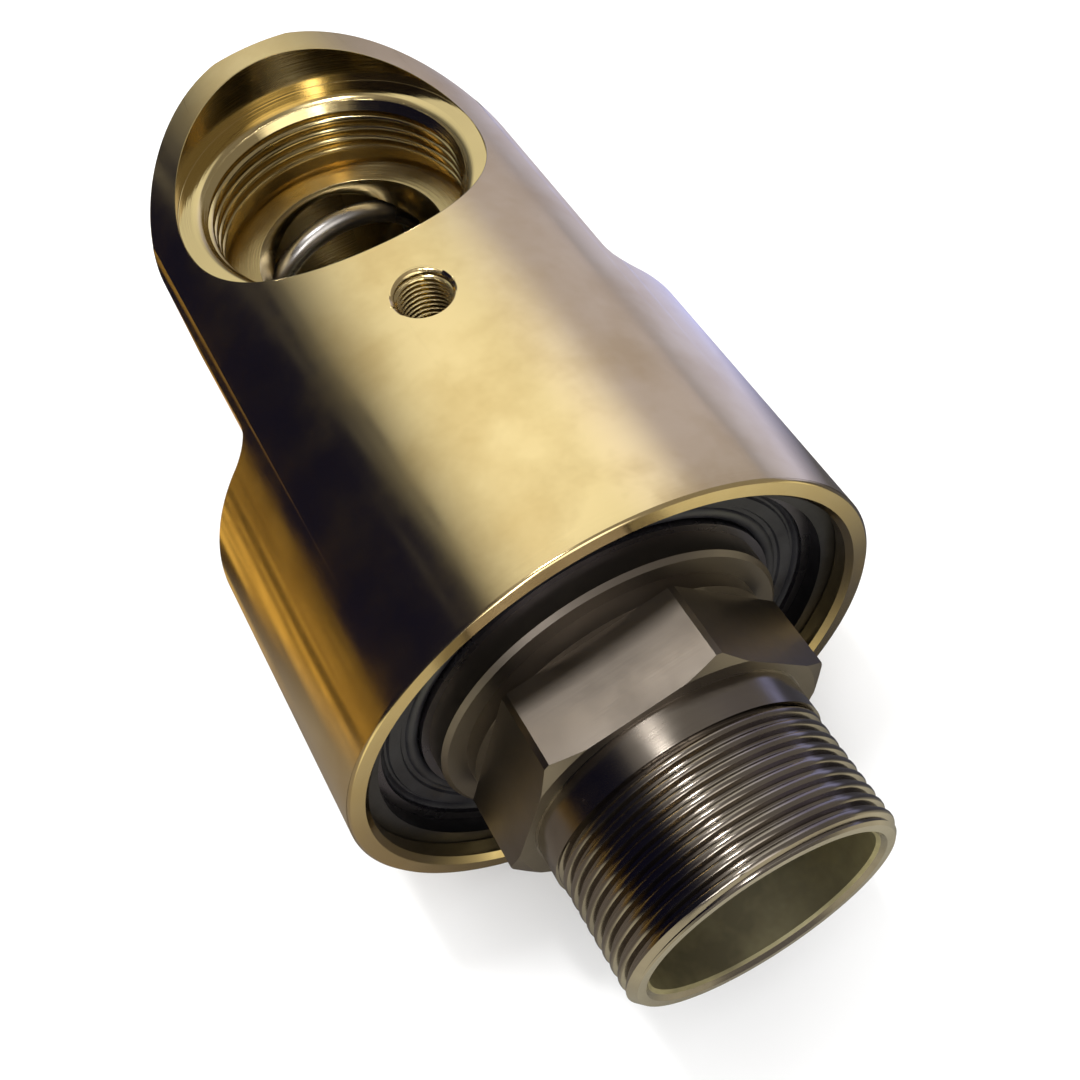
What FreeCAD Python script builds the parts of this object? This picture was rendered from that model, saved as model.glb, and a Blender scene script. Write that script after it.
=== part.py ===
import FreeCAD, Part
import math
import os
import re

from FreeCAD import Placement, Rotation, Vector
import Sketcher

# Single-passage rotary union, brass housing with one side port and a steel rotor on two ball bearings.
# The rotor turns about the Y axis, its threaded nipple opens towards -Y, and the side port faces +Z.
# The origin is the centre of the nipple's open end. Lengths are in millimetres, angles in degrees.

doc = FreeCAD.newDocument("rotary_union")
sheet = doc.addObject("Spreadsheet::Sheet", "Sizes")

SIZES = [
    # rotor, from its open end to the bearing seat
    ("nipple_radius", 23.9),
    ("nipple_length", 21.5),
    ("rotor_bore", 20.0),
    ("bore_flare", 1.2),
    ("band_radius", 24.3),
    ("band_length", 6.0),
    ("hex_flats", 52.0),
    ("hex_corner_radius", 29.7),
    ("hex_length", 14.5),
    ("hex_chamfer", 2.4),
    ("hex_turn", 10.0),
    ("neck_radius", 27.6),
    ("collar_radius", 31.8),
    ("collar_width", 5.0),
    ("collar_chamfer", 0.8),
    # housing, from the open rim to the closed head
    ("rim_plane", 43.0),
    ("body_radius", 49.0),
    ("body_length", 55.0),
    ("rim_chamfer", 1.0),
    ("shoulder_chamfer", 0.6),
    ("recess_depth", 7.0),
    ("port_rise", 41.0),
    ("head_radius", 28.3),
    ("head_rise", 33.4),
    ("head_chamfer", 1.0),
    ("head_wall", 5.9),
    ("boss_half_width", 34.2),
    ("boss_back", 16.0),
    ("boss_blend", 5.0),
    ("shoulder_fillet", 4.5),
    # side port and leak hole
    ("port_thread_radius", 23.9),
    ("port_chamfer", 0.8),
    ("spot_face_radius", 28.1),
    ("spot_face_height", 40.0),
    ("port_floor", 24.8),
    ("port_hole_radius", 17.8),
    ("leak_radius", 4.86),
    ("leak_offset", 0.5),
    # ball bearings
    ("bearing_outer_radius", 45.0),
    ("bearing_bore_radius", 27.5),
    ("bearing_width", 18.0),
    ("ring_chamfer", 0.9),
    ("ball_radius", 5.5),
    ("ball_count", 12.0),
    ("track_mouth", 5.2),
    ("track_floor", 2.3),
    ("land_rise", 3.05),
    ("cage_wall", 3.2),
    ("cage_rim", 0.9),
    ("seal_seat_depth", 1.9),
    ("seal_seat_step", 1.0),
    ("seal_thickness", 1.3),
    ("spacer_width", 2.0),
    ("spacer_wall", 3.6),
    # circlips
    ("housing_clip_width", 3.0),
    ("housing_clip_wall", 4.6),
    ("housing_clip_groove", 1.75),
    ("rotor_clip_width", 2.0),
    ("rotor_clip_wall", 4.2),
    ("rotor_clip_groove", 1.5),
    ("clip_gap", 26.0),
    ("lug_radius", 3.4),
    ("lug_hole_radius", 1.25),
    # face seal
    ("chamber_radius", 36.0),
    ("chamber_length", 4.4),
    ("leak_chamber_gap", 0.8),
    ("leak_chamber_step", 1.5),
    ("leak_chamber_length", 10.4),
    ("cavity_radius", 22.5),
    ("nose_length", 3.8),
    ("seat_radius", 23.2),
    ("seat_depth", 3.6),
    ("seat_ring_length", 5.0),
    ("seat_ring_wall", 5.2),
    ("seat_o_ring_radius", 1.0),
    ("seat_o_ring_gap", 0.6),
    ("carbon_length", 6.0),
    ("carbon_radius", 20.3),
    ("carbon_bore", 17.8),
    ("carbon_nose_length", 2.0),
    ("carbon_nose_step", 0.8),
    ("carrier_length", 16.5),
    ("carrier_bore", 17.6),
    ("carrier_socket_depth", 3.5),
    ("o_ring_radius", 0.95),
    ("o_ring_groove_width", 2.4),
    ("o_ring_from_end", 3.0),
    ("key_radius", 1.25),
    ("key_length", 4.0),
    ("key_from_front", 3.0),
    ("key_circle", 22.4),
    ("key_travel", 2.5),
    # spring
    ("spring_wire_radius", 2.2),
    ("spring_turns", 3.75),
    ("spring_gap", 0.5),
    ("spring_seat_width", 1.0),
    # clearances
    ("fit_gap", 0.02),
    ("running_gap", 0.05),
    ("free_gap", 0.1),
]

for row, (alias, value) in enumerate(SIZES, start=1):
    sheet.set("A%d" % row, alias)
    sheet.set("B%d" % row, str(value))
    sheet.setAlias("B%d" % row, alias)
doc.recompute()

NAMES = {alias for alias, value in SIZES}


def size(alias):
    """A size as a number, read from the sheet."""
    return float(sheet.get(alias))


def bound(expression):
    """The expression with each size's name pointing at its cell."""
    def to_cell(match):
        word = match.group(0)
        return "Sizes." + word if word in NAMES else word
    return re.sub(r"[a-z][a-z0-9_]*", to_cell, expression)


# Stations along the rotor's axis, as expressions of the sizes.
SHOULDER = "(rim_plane + body_length)"
PORT = "(%s + port_rise)" % SHOULDER
HEAD = "(%s + head_rise)" % PORT
CAVITY_END = "(%s - head_wall)" % HEAD
HEX_START = "(nipple_length + band_length)"
HEX_END = "(%s + hex_length)" % HEX_START
FRONT = "(rim_plane + recess_depth)"
SPACER = "(%s + bearing_width)" % FRONT
REAR = "(%s + spacer_width)" % SPACER
STEP = "(%s + bearing_width)" % REAR
CHAMBER_END = "(%s + chamber_length)" % STEP
LEAK_END = "(%s + leak_chamber_length)" % CHAMBER_END
LEAK = "(%s - leak_offset)" % SHOULDER
ROTOR_END = "(%s + nose_length)" % STEP
SEAT_FLOOR = "(%s - seat_depth)" % ROTOR_END
SEAT_BACK = "(%s + 2 * seat_o_ring_radius)" % SEAT_FLOOR
SEAL_FACE = "(%s + seat_ring_length)" % SEAT_BACK
CARBON_BACK = "(%s + carbon_length)" % SEAL_FACE
CARRIER_FRONT = "(%s - carrier_socket_depth)" % CARBON_BACK
CARRIER_BACK = "(%s + carrier_length)" % CARRIER_FRONT
KEY_START = "(%s + key_from_front)" % CARRIER_FRONT
SPRING_END = "(%s - spring_seat_width)" % CAVITY_END
BALL_CIRCLE = "((bearing_outer_radius + bearing_bore_radius) / 2)"
INNER_LAND = "(%s - land_rise)" % BALL_CIRCLE
OUTER_LAND = "(%s + land_rise)" % BALL_CIRCLE
# The leak chamber clears both the ring that turns in it and the carrier that slides into it.
LEAK_CHAMBER = "max(seat_radius + leak_chamber_gap; cavity_radius + leak_chamber_step)"

# Face counts of the balls and the spring, and the latitude of a ball's flat caps.
BALL_SIDES = 10
BALL_BANDS = 6
BALL_CAP = math.radians(72.0)
WIRE_SIDES = 8
STEPS_PER_TURN = 24


def value_of(expression):
    """The value of an expression of the sizes, worked out in a spare cell of the sheet."""
    sheet.set("D1", "=" + expression)
    sheet.recompute()
    return float(sheet.get("D1"))


def origin_plane(body, role):
    """One of the body's own origin planes."""
    return [feature for feature in body.Origin.OriginFeatures if feature.Role == role][0]


def origin_axis(body, role):
    """One of the body's own origin axes."""
    return [feature for feature in body.Origin.OriginFeatures if feature.Role == role][0]


def new_body(name):
    body = doc.addObject("PartDesign::Body", name)
    body.Label = name
    return body


def new_sketch(body, name, role, offset=None, turn=0.0):
    """A sketch on one of the body's origin planes, moved along its normal and turned in its plane."""
    sketch = body.newObject("Sketcher::SketchObject", name)
    sketch.AttachmentSupport = [(origin_plane(body, role), "")]
    sketch.MapMode = "FlatFace"
    if turn:
        sketch.AttachmentOffset = Placement(Vector(), Rotation(Vector(0, 0, 1), turn))
    if offset:
        sketch.setExpression("AttachmentOffset.Base.z", bound(offset))
    return sketch


def pin_point(sketch, geometry, corner, across, along):
    """Fixes a point of the sketch at two expressions from the sketch's origin."""
    for kind, axis, expression in (("DistanceX", -2, across), ("DistanceY", -1, along)):
        if expression == "0":
            sketch.addConstraint(Sketcher.Constraint("PointOnObject", geometry, corner, axis))
        else:
            index = sketch.addConstraint(Sketcher.Constraint(kind, -1, 1, geometry, corner, 1.0))
            sketch.setExpression("Constraints[%d]" % index, bound(expression))


def draw_outline(sketch, corners):
    """A closed outline of straight edges, each corner pinned at its own pair of expressions."""
    count = len(corners)
    places = []
    for index in range(count):
        angle = 2 * math.pi * index / count
        places.append(Vector(60 + 20 * math.cos(angle), 60 + 20 * math.sin(angle), 0))
    first = sketch.GeometryCount
    for index in range(count):
        sketch.addGeometry(Part.LineSegment(places[index], places[(index + 1) % count]), False)
    for index in range(count):
        edge = first + index
        following = first + (index + 1) % count
        sketch.addConstraint(Sketcher.Constraint("Coincident", edge, 2, following, 1))
    for index, (across, along) in enumerate(corners):
        pin_point(sketch, first + index, 1, across, along)


def draw_circle(sketch, across, along, radius):
    """A circle with its centre pinned and its radius bound."""
    circle = sketch.addGeometry(Part.Circle(Vector(10, 10, 0), Vector(0, 0, 1), 1.0), False)
    pin_point(sketch, circle, 3, across, along)
    index = sketch.addConstraint(Sketcher.Constraint("Radius", circle, 1.0))
    sketch.setExpression("Constraints[%d]" % index, bound(radius))


def turned(body, name, corners, cut=False, angle=360.0):
    """Turns an outline of (radius, station) corners about the rotor's axis, or cuts with it."""
    sketch = new_sketch(body, name + "_outline", "XY_Plane")
    draw_outline(sketch, corners)
    feature = body.newObject("PartDesign::Groove" if cut else "PartDesign::Revolution", name)
    feature.Profile = sketch
    feature.ReferenceAxis = (sketch, ["V_Axis"])
    feature.Angle = angle
    feature.Midplane = angle < 360.0
    return feature


def raceway(body, name, station, land, side):
    """Cuts the ball track as a groove with a flat bottom and sloped flanks that clear the balls."""
    middle = "(%s + bearing_width / 2)" % station
    bottom = "%s %s (ball_radius + running_gap)" % (BALL_CIRCLE, side)
    return turned(body, name, [
        (land, middle + " - track_mouth"),
        (land, middle + " + track_mouth"),
        (bottom, middle + " + track_floor"),
        (bottom, middle + " - track_floor"),
    ], cut=True)


def bored_across(body, name, station, steps):
    """Bores along Z at a station: steps are (radius, height) corners from the inside out."""
    sketch = new_sketch(body, name + "_outline", "YZ_Plane")
    start = steps[0][1]
    finish = steps[-1][1]
    corners = [(station, start)]
    corners += [("%s + %s" % (station, radius), height) for radius, height in steps]
    corners += [(station, finish)]
    draw_outline(sketch, corners)
    axis = sketch.addGeometry(Part.LineSegment(Vector(5, 5, 0), Vector(5, 9, 0)), True)
    sketch.addConstraint(Sketcher.Constraint("Vertical", axis))
    pin_point(sketch, axis, 1, station, "body_radius")
    length = sketch.addConstraint(Sketcher.Constraint("DistanceY", axis, 1, axis, 2, 4.0))
    sketch.setExpression("Constraints[%d]" % length, bound("body_radius"))
    feature = body.newObject("PartDesign::Groove", name)
    feature.Profile = sketch
    feature.ReferenceAxis = (sketch, ["Axis0"])
    return feature


def body_volume(body):
    """The body's volume after a recompute."""
    doc.recompute()
    return body.Shape.Volume


def expect_cut(body, name, before):
    """Stops the build if a cut took nothing away."""
    doc.recompute()
    if body.Shape.Volume > before - 0.01:
        raise RuntimeError(name + " cuts nothing")


def edges_where(shape, test):
    """The names of the edges whose sampled points all pass the test."""
    names = []
    for number, edge in enumerate(shape.Edges, start=1):
        points = edge.discretize(5)
        if all(test(point) for point in points):
            names.append("Edge%d" % number)
    return names


def make_housing():
    """Brass housing: a big cylinder, a narrower head, and a port boss flush with the cylinder's front."""
    body = new_body("housing")
    turned(body, "blank", [
        ("0", "rim_plane"),
        ("body_radius - rim_chamfer / 2", "rim_plane"),
        ("body_radius", "rim_plane + rim_chamfer / 2"),
        ("body_radius", SHOULDER + " - shoulder_chamfer"),
        ("body_radius - shoulder_chamfer", SHOULDER),
        ("head_radius", SHOULDER),
        ("head_radius", HEAD + " - head_chamfer"),
        ("head_radius - head_chamfer", HEAD),
        ("0", HEAD),
    ])
    # The boss is a round about the port's axis, with straight legs that run into the big cylinder.
    before = body_volume(body)
    round_sketch = new_sketch(body, "boss_round_outline", "XY_Plane", offset="boss_back")
    draw_circle(round_sketch, "0", PORT, "boss_half_width")
    legs_sketch = new_sketch(body, "boss_legs_outline", "XY_Plane", offset="boss_back")
    foot = "rim_plane + body_length / 2"
    draw_outline(legs_sketch, [
        ("boss_half_width", foot),
        ("boss_half_width", PORT),
        ("-boss_half_width", PORT),
        ("-boss_half_width", foot),
    ])
    for name, sketch in (("boss_round", round_sketch), ("boss_legs", legs_sketch)):
        boss = body.newObject("PartDesign::Pad", name)
        boss.Profile = sketch
        boss.setExpression("Length", bound("body_radius - boss_back + rim_chamfer"))
    if body_volume(body) < before + 1.0:
        raise RuntimeError("the boss adds nothing")
    # One turning pass brings the boss flush with the cylinder, and the crest of its arch to the head's face.
    beyond = "body_radius + 2 * rim_chamfer + boss_half_width"
    trim = turned(body, "trim", [
        ("body_radius", "rim_plane + body_length / 3"),
        (beyond, "rim_plane + body_length / 3"),
        (beyond, HEAD + " + boss_half_width"),
        ("0", HEAD + " + boss_half_width"),
        ("0", HEAD),
        ("body_radius", HEAD),
    ], cut=True)
    doc.recompute()
    back = size("boss_back")
    shoulder = value_of(SHOULDER)
    head_radius = size("head_radius")
    half_width = size("boss_half_width")

    def behind_boss(point):
        on_back = abs(point.z - back) < 0.01 and point.y > shoulder - 0.01
        return on_back and abs(math.hypot(point.x, point.z) - head_radius) < 0.01

    blend = body.newObject("PartDesign::Fillet", "boss_blend_fillet")
    blend.Base = (trim, edges_where(trim.Shape, behind_boss))
    blend.setExpression("Radius", bound("boss_blend"))
    doc.recompute()

    def round_boss_foot(point):
        on_shoulder = abs(point.y - shoulder) < 0.01
        beside = abs(abs(point.x) - half_width) < 0.01
        behind = math.hypot(point.x, point.z) < math.hypot(half_width, back) + 0.01
        return on_shoulder and (beside or behind)

    foot_fillet = body.newObject("PartDesign::Fillet", "shoulder_fillet_edge")
    foot_fillet.Base = (blend, edges_where(blend.Shape, round_boss_foot))
    foot_fillet.setExpression("Radius", bound("shoulder_fillet"))
    doc.recompute()
    # Bearing bore, seal chamber, leak chamber and the cavity of the spring, bored from the rim.
    groove_start = FRONT + " - housing_clip_width - free_gap"
    groove_radius = "bearing_outer_radius + housing_clip_groove"
    before = body.Shape.Volume
    turned(body, "bore", [
        ("0", "rim_plane"),
        ("bearing_outer_radius + rim_chamfer", "rim_plane"),
        ("bearing_outer_radius", "rim_plane + rim_chamfer"),
        ("bearing_outer_radius", groove_start),
        (groove_radius, groove_start),
        (groove_radius, FRONT),
        ("bearing_outer_radius", FRONT),
        ("bearing_outer_radius", STEP),
        ("chamber_radius", STEP),
        ("chamber_radius", CHAMBER_END),
        (LEAK_CHAMBER, CHAMBER_END),
        (LEAK_CHAMBER, LEAK_END),
        ("cavity_radius", LEAK_END),
        ("cavity_radius", CAVITY_END),
        ("0", CAVITY_END),
    ], cut=True)
    expect_cut(body, "bore", before)
    # Side port: spot face, threaded wall, step and the hole into the cavity.
    before = body.Shape.Volume
    bored_across(body, "port", PORT, [
        ("port_hole_radius", "0"),
        ("port_hole_radius", "port_floor"),
        ("port_thread_radius", "port_floor"),
        ("port_thread_radius", "spot_face_height - port_chamfer"),
        ("port_thread_radius + port_chamfer", "spot_face_height"),
        ("spot_face_radius", "spot_face_height"),
        ("spot_face_radius", "body_radius + rim_chamfer"),
    ])
    expect_cut(body, "port", before)
    before = body.Shape.Volume
    bored_across(body, "leak", LEAK, [
        ("leak_radius", "0"),
        ("leak_radius", "body_radius + rim_chamfer"),
    ])
    expect_cut(body, "leak", before)
    # Two keyways for the seal carrier's keys, open towards the leak chamber.
    before = body.Shape.Volume
    sketch = new_sketch(body, "keyway_outline", "XZ_Plane", offset="-" + LEAK_END)
    for side in ("", "-"):
        draw_circle(sketch, side + "key_circle", "0", "key_radius + running_gap")
    keyways = body.newObject("PartDesign::Pocket", "keyways")
    keyways.Profile = sketch
    keyways.setExpression("Length", bound(KEY_START + " + key_length + key_travel - " + LEAK_END))
    expect_cut(body, "keyways", before)
    return body


def make_rotor():
    """Steel rotor: threaded nipple, wrench hexagon, collar, bearing seat and the seat of the seal ring."""
    body = new_body("rotor")
    collar_front = FRONT + " - collar_width"
    clip_start = STEP + " + free_gap"
    clip_end = STEP + " + 2 * free_gap + rotor_clip_width"
    turned(body, "shaft", [
        ("rotor_bore + bore_flare", "0"),
        ("nipple_radius", "0"),
        ("nipple_radius", "nipple_length"),
        ("band_radius", "nipple_length"),
        ("band_radius", HEX_START),
        ("hex_corner_radius - hex_chamfer", HEX_START),
        ("hex_corner_radius", HEX_START + " + hex_chamfer / 2"),
        ("hex_corner_radius", HEX_END),
        ("neck_radius", HEX_END),
        ("neck_radius", collar_front),
        ("collar_radius - collar_chamfer", collar_front),
        ("collar_radius", collar_front + " + collar_chamfer"),
        ("collar_radius", FRONT),
        ("bearing_bore_radius", FRONT),
        ("bearing_bore_radius", clip_start),
        ("bearing_bore_radius - rotor_clip_groove", clip_start),
        ("bearing_bore_radius - rotor_clip_groove", clip_end),
        ("bearing_bore_radius", clip_end),
        ("bearing_bore_radius", ROTOR_END + " - free_gap * 5"),
        ("bearing_bore_radius - free_gap * 5", ROTOR_END),
        ("seat_radius", ROTOR_END),
        ("seat_radius", SEAT_FLOOR),
        ("rotor_bore", SEAT_FLOOR),
        ("rotor_bore", "bore_flare"),
    ])
    doc.recompute()
    # Six wrench flats, milled one after another round the hexagon.
    before = body.Shape.Volume
    sketch = new_sketch(body, "flat_outline", "XZ_Plane", offset="-" + HEX_START, turn=size("hex_turn"))
    draw_outline(sketch, [
        ("hex_flats", "hex_flats / 2"),
        ("hex_flats", "hex_flats"),
        ("-hex_flats", "hex_flats"),
        ("-hex_flats", "hex_flats / 2"),
    ])
    flat = body.newObject("PartDesign::Pocket", "flat")
    flat.Profile = sketch
    flat.setExpression("Length", bound("hex_length"))
    expect_cut(body, "flat", before)
    flats = body.newObject("PartDesign::PolarPattern", "flats")
    flats.Originals = [flat]
    flats.Axis = (origin_axis(body, "Y_Axis"), [""])
    flats.Angle = 360.0
    flats.Occurrences = 6
    body.Tip = flats
    doc.recompute()
    return body


def faceted_solid(rings):
    """A solid skinned with triangles over rings that have the same number of points."""
    count = len(rings[0])
    faces = []
    for near, far in zip(rings, rings[1:]):
        for index in range(count):
            following = (index + 1) % count
            for corners in ((near[index], near[following], far[following]),
                            (near[index], far[following], far[index])):
                faces.append(Part.Face(Part.makePolygon(list(corners) + [corners[0]])))
    for ring in (rings[0], rings[-1]):
        faces.append(Part.Face(Part.makePolygon(ring + [ring[0]])))
    solid = Part.makeSolid(Part.makeShell(faces))
    if solid.Volume < 0:
        solid.reverse()
    return solid


def faceted_ball(centre, azimuth):
    """A ball with few faces, with one corner towards the rotor's axis and one away from it."""
    radius = size("ball_radius")
    rings = []
    for band in range(BALL_BANDS + 1):
        latitude = BALL_CAP * (2.0 * band / BALL_BANDS - 1.0)
        across = radius * math.cos(latitude)
        ring = []
        for side in range(BALL_SIDES):
            angle = azimuth + 2 * math.pi * side / BALL_SIDES
            outward = Vector(math.sin(angle), 0, math.cos(angle))
            ring.append(centre + outward * across + Vector(0, radius * math.sin(latitude), 0))
        rings.append(ring)
    return faceted_solid(rings)


def make_ring(name, corners):
    """A turned ring that is one closed outline."""
    body = new_body(name)
    turned(body, name + "_turning", corners)
    return body


def make_bearing(prefix, station):
    """A sealed deep-groove ball bearing: two rings, balls, a cage and a seal on each side."""
    far = station + " + bearing_width"
    seat_radius = OUTER_LAND + " + seal_seat_step"
    outer = make_ring(prefix + "_bearing_outer_ring", [
        ("bearing_outer_radius - fit_gap - ring_chamfer", station),
        ("bearing_outer_radius - fit_gap", station + " + ring_chamfer"),
        ("bearing_outer_radius - fit_gap", far + " - ring_chamfer"),
        ("bearing_outer_radius - fit_gap - ring_chamfer", far),
        (seat_radius, far),
        (seat_radius, far + " - seal_seat_depth"),
        (OUTER_LAND, far + " - seal_seat_depth"),
        (OUTER_LAND, station + " + seal_seat_depth"),
        (seat_radius, station + " + seal_seat_depth"),
        (seat_radius, station),
    ])
    raceway(outer, prefix + "_outer_track", station, OUTER_LAND, "+")
    inner = make_ring(prefix + "_bearing_inner_ring", [
        ("bearing_bore_radius + fit_gap + ring_chamfer", station),
        (INNER_LAND, station),
        (INNER_LAND, far),
        ("bearing_bore_radius + fit_gap + ring_chamfer", far),
        ("bearing_bore_radius + fit_gap", far + " - ring_chamfer"),
        ("bearing_bore_radius + fit_gap", station + " + ring_chamfer"),
    ])
    raceway(inner, prefix + "_inner_track", station, INNER_LAND, "-")
    middle = station + " + bearing_width / 2"
    cage = make_ring(prefix + "_bearing_cage", [
        (BALL_CIRCLE + " - cage_wall / 2", middle + " - ball_radius - cage_rim"),
        (BALL_CIRCLE + " + cage_wall / 2", middle + " - ball_radius - cage_rim"),
        (BALL_CIRCLE + " + cage_wall / 2", middle + " + ball_radius + cage_rim"),
        (BALL_CIRCLE + " - cage_wall / 2", middle + " + ball_radius + cage_rim"),
    ])
    doc.recompute()
    before = cage.Shape.Volume
    sketch = new_sketch(cage, prefix + "_pocket_outline", "XY_Plane")
    wide = "(ball_radius + free_gap)"
    narrow = "(%s * tan(22.5deg))" % wide
    draw_outline(sketch, [
        (wide, "%s - %s" % (middle, narrow)),
        (wide, "%s + %s" % (middle, narrow)),
        (narrow, "%s + %s" % (middle, wide)),
        ("-" + narrow, "%s + %s" % (middle, wide)),
        ("-" + wide, "%s + %s" % (middle, narrow)),
        ("-" + wide, "%s - %s" % (middle, narrow)),
        ("-" + narrow, "%s - %s" % (middle, wide)),
        (narrow, "%s - %s" % (middle, wide)),
    ])
    pocket = cage.newObject("PartDesign::Pocket", prefix + "_ball_pocket")
    pocket.Profile = sketch
    pocket.Reversed = True
    pocket.setExpression("Length", bound("bearing_outer_radius"))
    expect_cut(cage, prefix + " ball pocket", before)
    pockets = cage.newObject("PartDesign::PolarPattern", prefix + "_ball_pockets")
    pockets.Originals = [pocket]
    pockets.Axis = (origin_axis(cage, "Y_Axis"), [""])
    pockets.Angle = 360.0
    pockets.setExpression("Occurrences", bound("ball_count"))
    cage.Tip = pockets
    balls = []
    middle_station = value_of(middle)
    circle_radius = value_of(BALL_CIRCLE)
    count = int(round(size("ball_count")))
    for index in range(count):
        angle = 2 * math.pi * index / count
        centre = Vector(circle_radius * math.sin(angle), middle_station, circle_radius * math.cos(angle))
        balls.append(faceted_ball(centre, angle))
    ball_set = doc.addObject("Part::Feature", prefix + "_bearing_balls")
    ball_set.Label = prefix + "_bearing_balls"
    ball_set.Shape = Part.makeCompound(balls)
    seals = []
    for side, near in (("front", station + " + seal_seat_depth - seal_thickness"),
                       ("rear", far + " - seal_seat_depth")):
        seals.append(make_ring("%s_bearing_%s_seal" % (prefix, side), [
            (INNER_LAND + " + free_gap", near),
            (seat_radius + " - fit_gap", near),
            (seat_radius + " - fit_gap", near + " + seal_thickness"),
            (INNER_LAND + " + free_gap", near + " + seal_thickness"),
        ]))
    return [outer, inner, cage, ball_set] + seals


def make_spacers():
    """The two rings that hold the bearings apart, one between the outer and one between the inner rings."""
    outer = make_ring("outer_spacer", [
        ("bearing_outer_radius - fit_gap - spacer_wall", SPACER),
        ("bearing_outer_radius - fit_gap", SPACER),
        ("bearing_outer_radius - fit_gap", REAR),
        ("bearing_outer_radius - fit_gap - spacer_wall", REAR),
    ])
    inner = make_ring("inner_spacer", [
        ("bearing_bore_radius + fit_gap", SPACER),
        ("bearing_bore_radius + fit_gap + spacer_wall", SPACER),
        ("bearing_bore_radius + fit_gap + spacer_wall", REAR),
        ("bearing_bore_radius + fit_gap", REAR),
    ])
    return [outer, inner]


def make_circlip(name, inner_edge, outer_edge, lug_circle, station, width, gap_azimuth):
    """A spring ring with a gap and two drilled lugs, its gap turned to an azimuth from +Z towards +X."""
    body = new_body(name)
    ring = turned(body, name + "_ring", [
        (inner_edge, station),
        (outer_edge, station),
        (outer_edge, station + " + " + width),
        (inner_edge, station + " + " + width),
    ])
    ring.Midplane = True
    ring.setExpression("Angle", bound("360 - clip_gap"))
    doc.recompute()
    # The ring is turned with its gap on -X, and the lugs close both of its ends.
    half_gap = "(clip_gap / 2 + 5)"
    lug_x = "-(%s) * cos(%s * 1deg)" % (lug_circle, half_gap)
    for feature_name, kind, radius in (("lugs", "PartDesign::Pad", "lug_radius"),
                                       ("lug_holes", "PartDesign::Pocket", "lug_hole_radius")):
        offset = "-(%s)" % station
        sketch = new_sketch(body, "%s_%s_outline" % (name, feature_name), "XZ_Plane", offset=offset)
        for sign in ("", "-"):
            draw_circle(sketch, lug_x, "%s(%s) * sin(%s * 1deg)" % (sign, lug_circle, half_gap), radius)
        feature = body.newObject(kind, "%s_%s" % (name, feature_name))
        feature.Profile = sketch
        feature.Reversed = kind == "PartDesign::Pad"
        feature.setExpression("Length", bound(width))
        doc.recompute()
    body.Placement = Placement(Vector(), Rotation(Vector(0, 1, 0), gap_azimuth + 90.0))
    return body


def make_circlips():
    housing_clip = make_circlip(
        "housing_circlip",
        "bearing_outer_radius + housing_clip_groove - running_gap - housing_clip_wall",
        "bearing_outer_radius + housing_clip_groove - running_gap",
        "bearing_outer_radius - running_gap - lug_radius",
        FRONT + " - housing_clip_width", "housing_clip_width", 150.0)
    rotor_clip = make_circlip(
        "rotor_circlip",
        "bearing_bore_radius - rotor_clip_groove + running_gap",
        "bearing_bore_radius - rotor_clip_groove + running_gap + rotor_clip_wall",
        "bearing_bore_radius + running_gap + lug_radius",
        STEP + " + free_gap", "rotor_clip_width", 40.0)
    return [housing_clip, rotor_clip]


def make_o_ring(name, mean_radius, station, section):
    """A rubber ring about the rotor's axis, its section a hexagon with corners on both walls."""
    tall = "(%s) * cos(30deg)" % section
    half = "(%s) / 2" % section
    return make_ring(name, [
        ("%s - (%s)" % (mean_radius, section), station),
        ("%s - %s" % (mean_radius, half), "%s - %s" % (station, tall)),
        ("%s + %s" % (mean_radius, half), "%s - %s" % (station, tall)),
        ("%s + (%s)" % (mean_radius, section), station),
        ("%s + %s" % (mean_radius, half), "%s + %s" % (station, tall)),
        ("%s - %s" % (mean_radius, half), "%s + %s" % (station, tall)),
    ])


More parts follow.
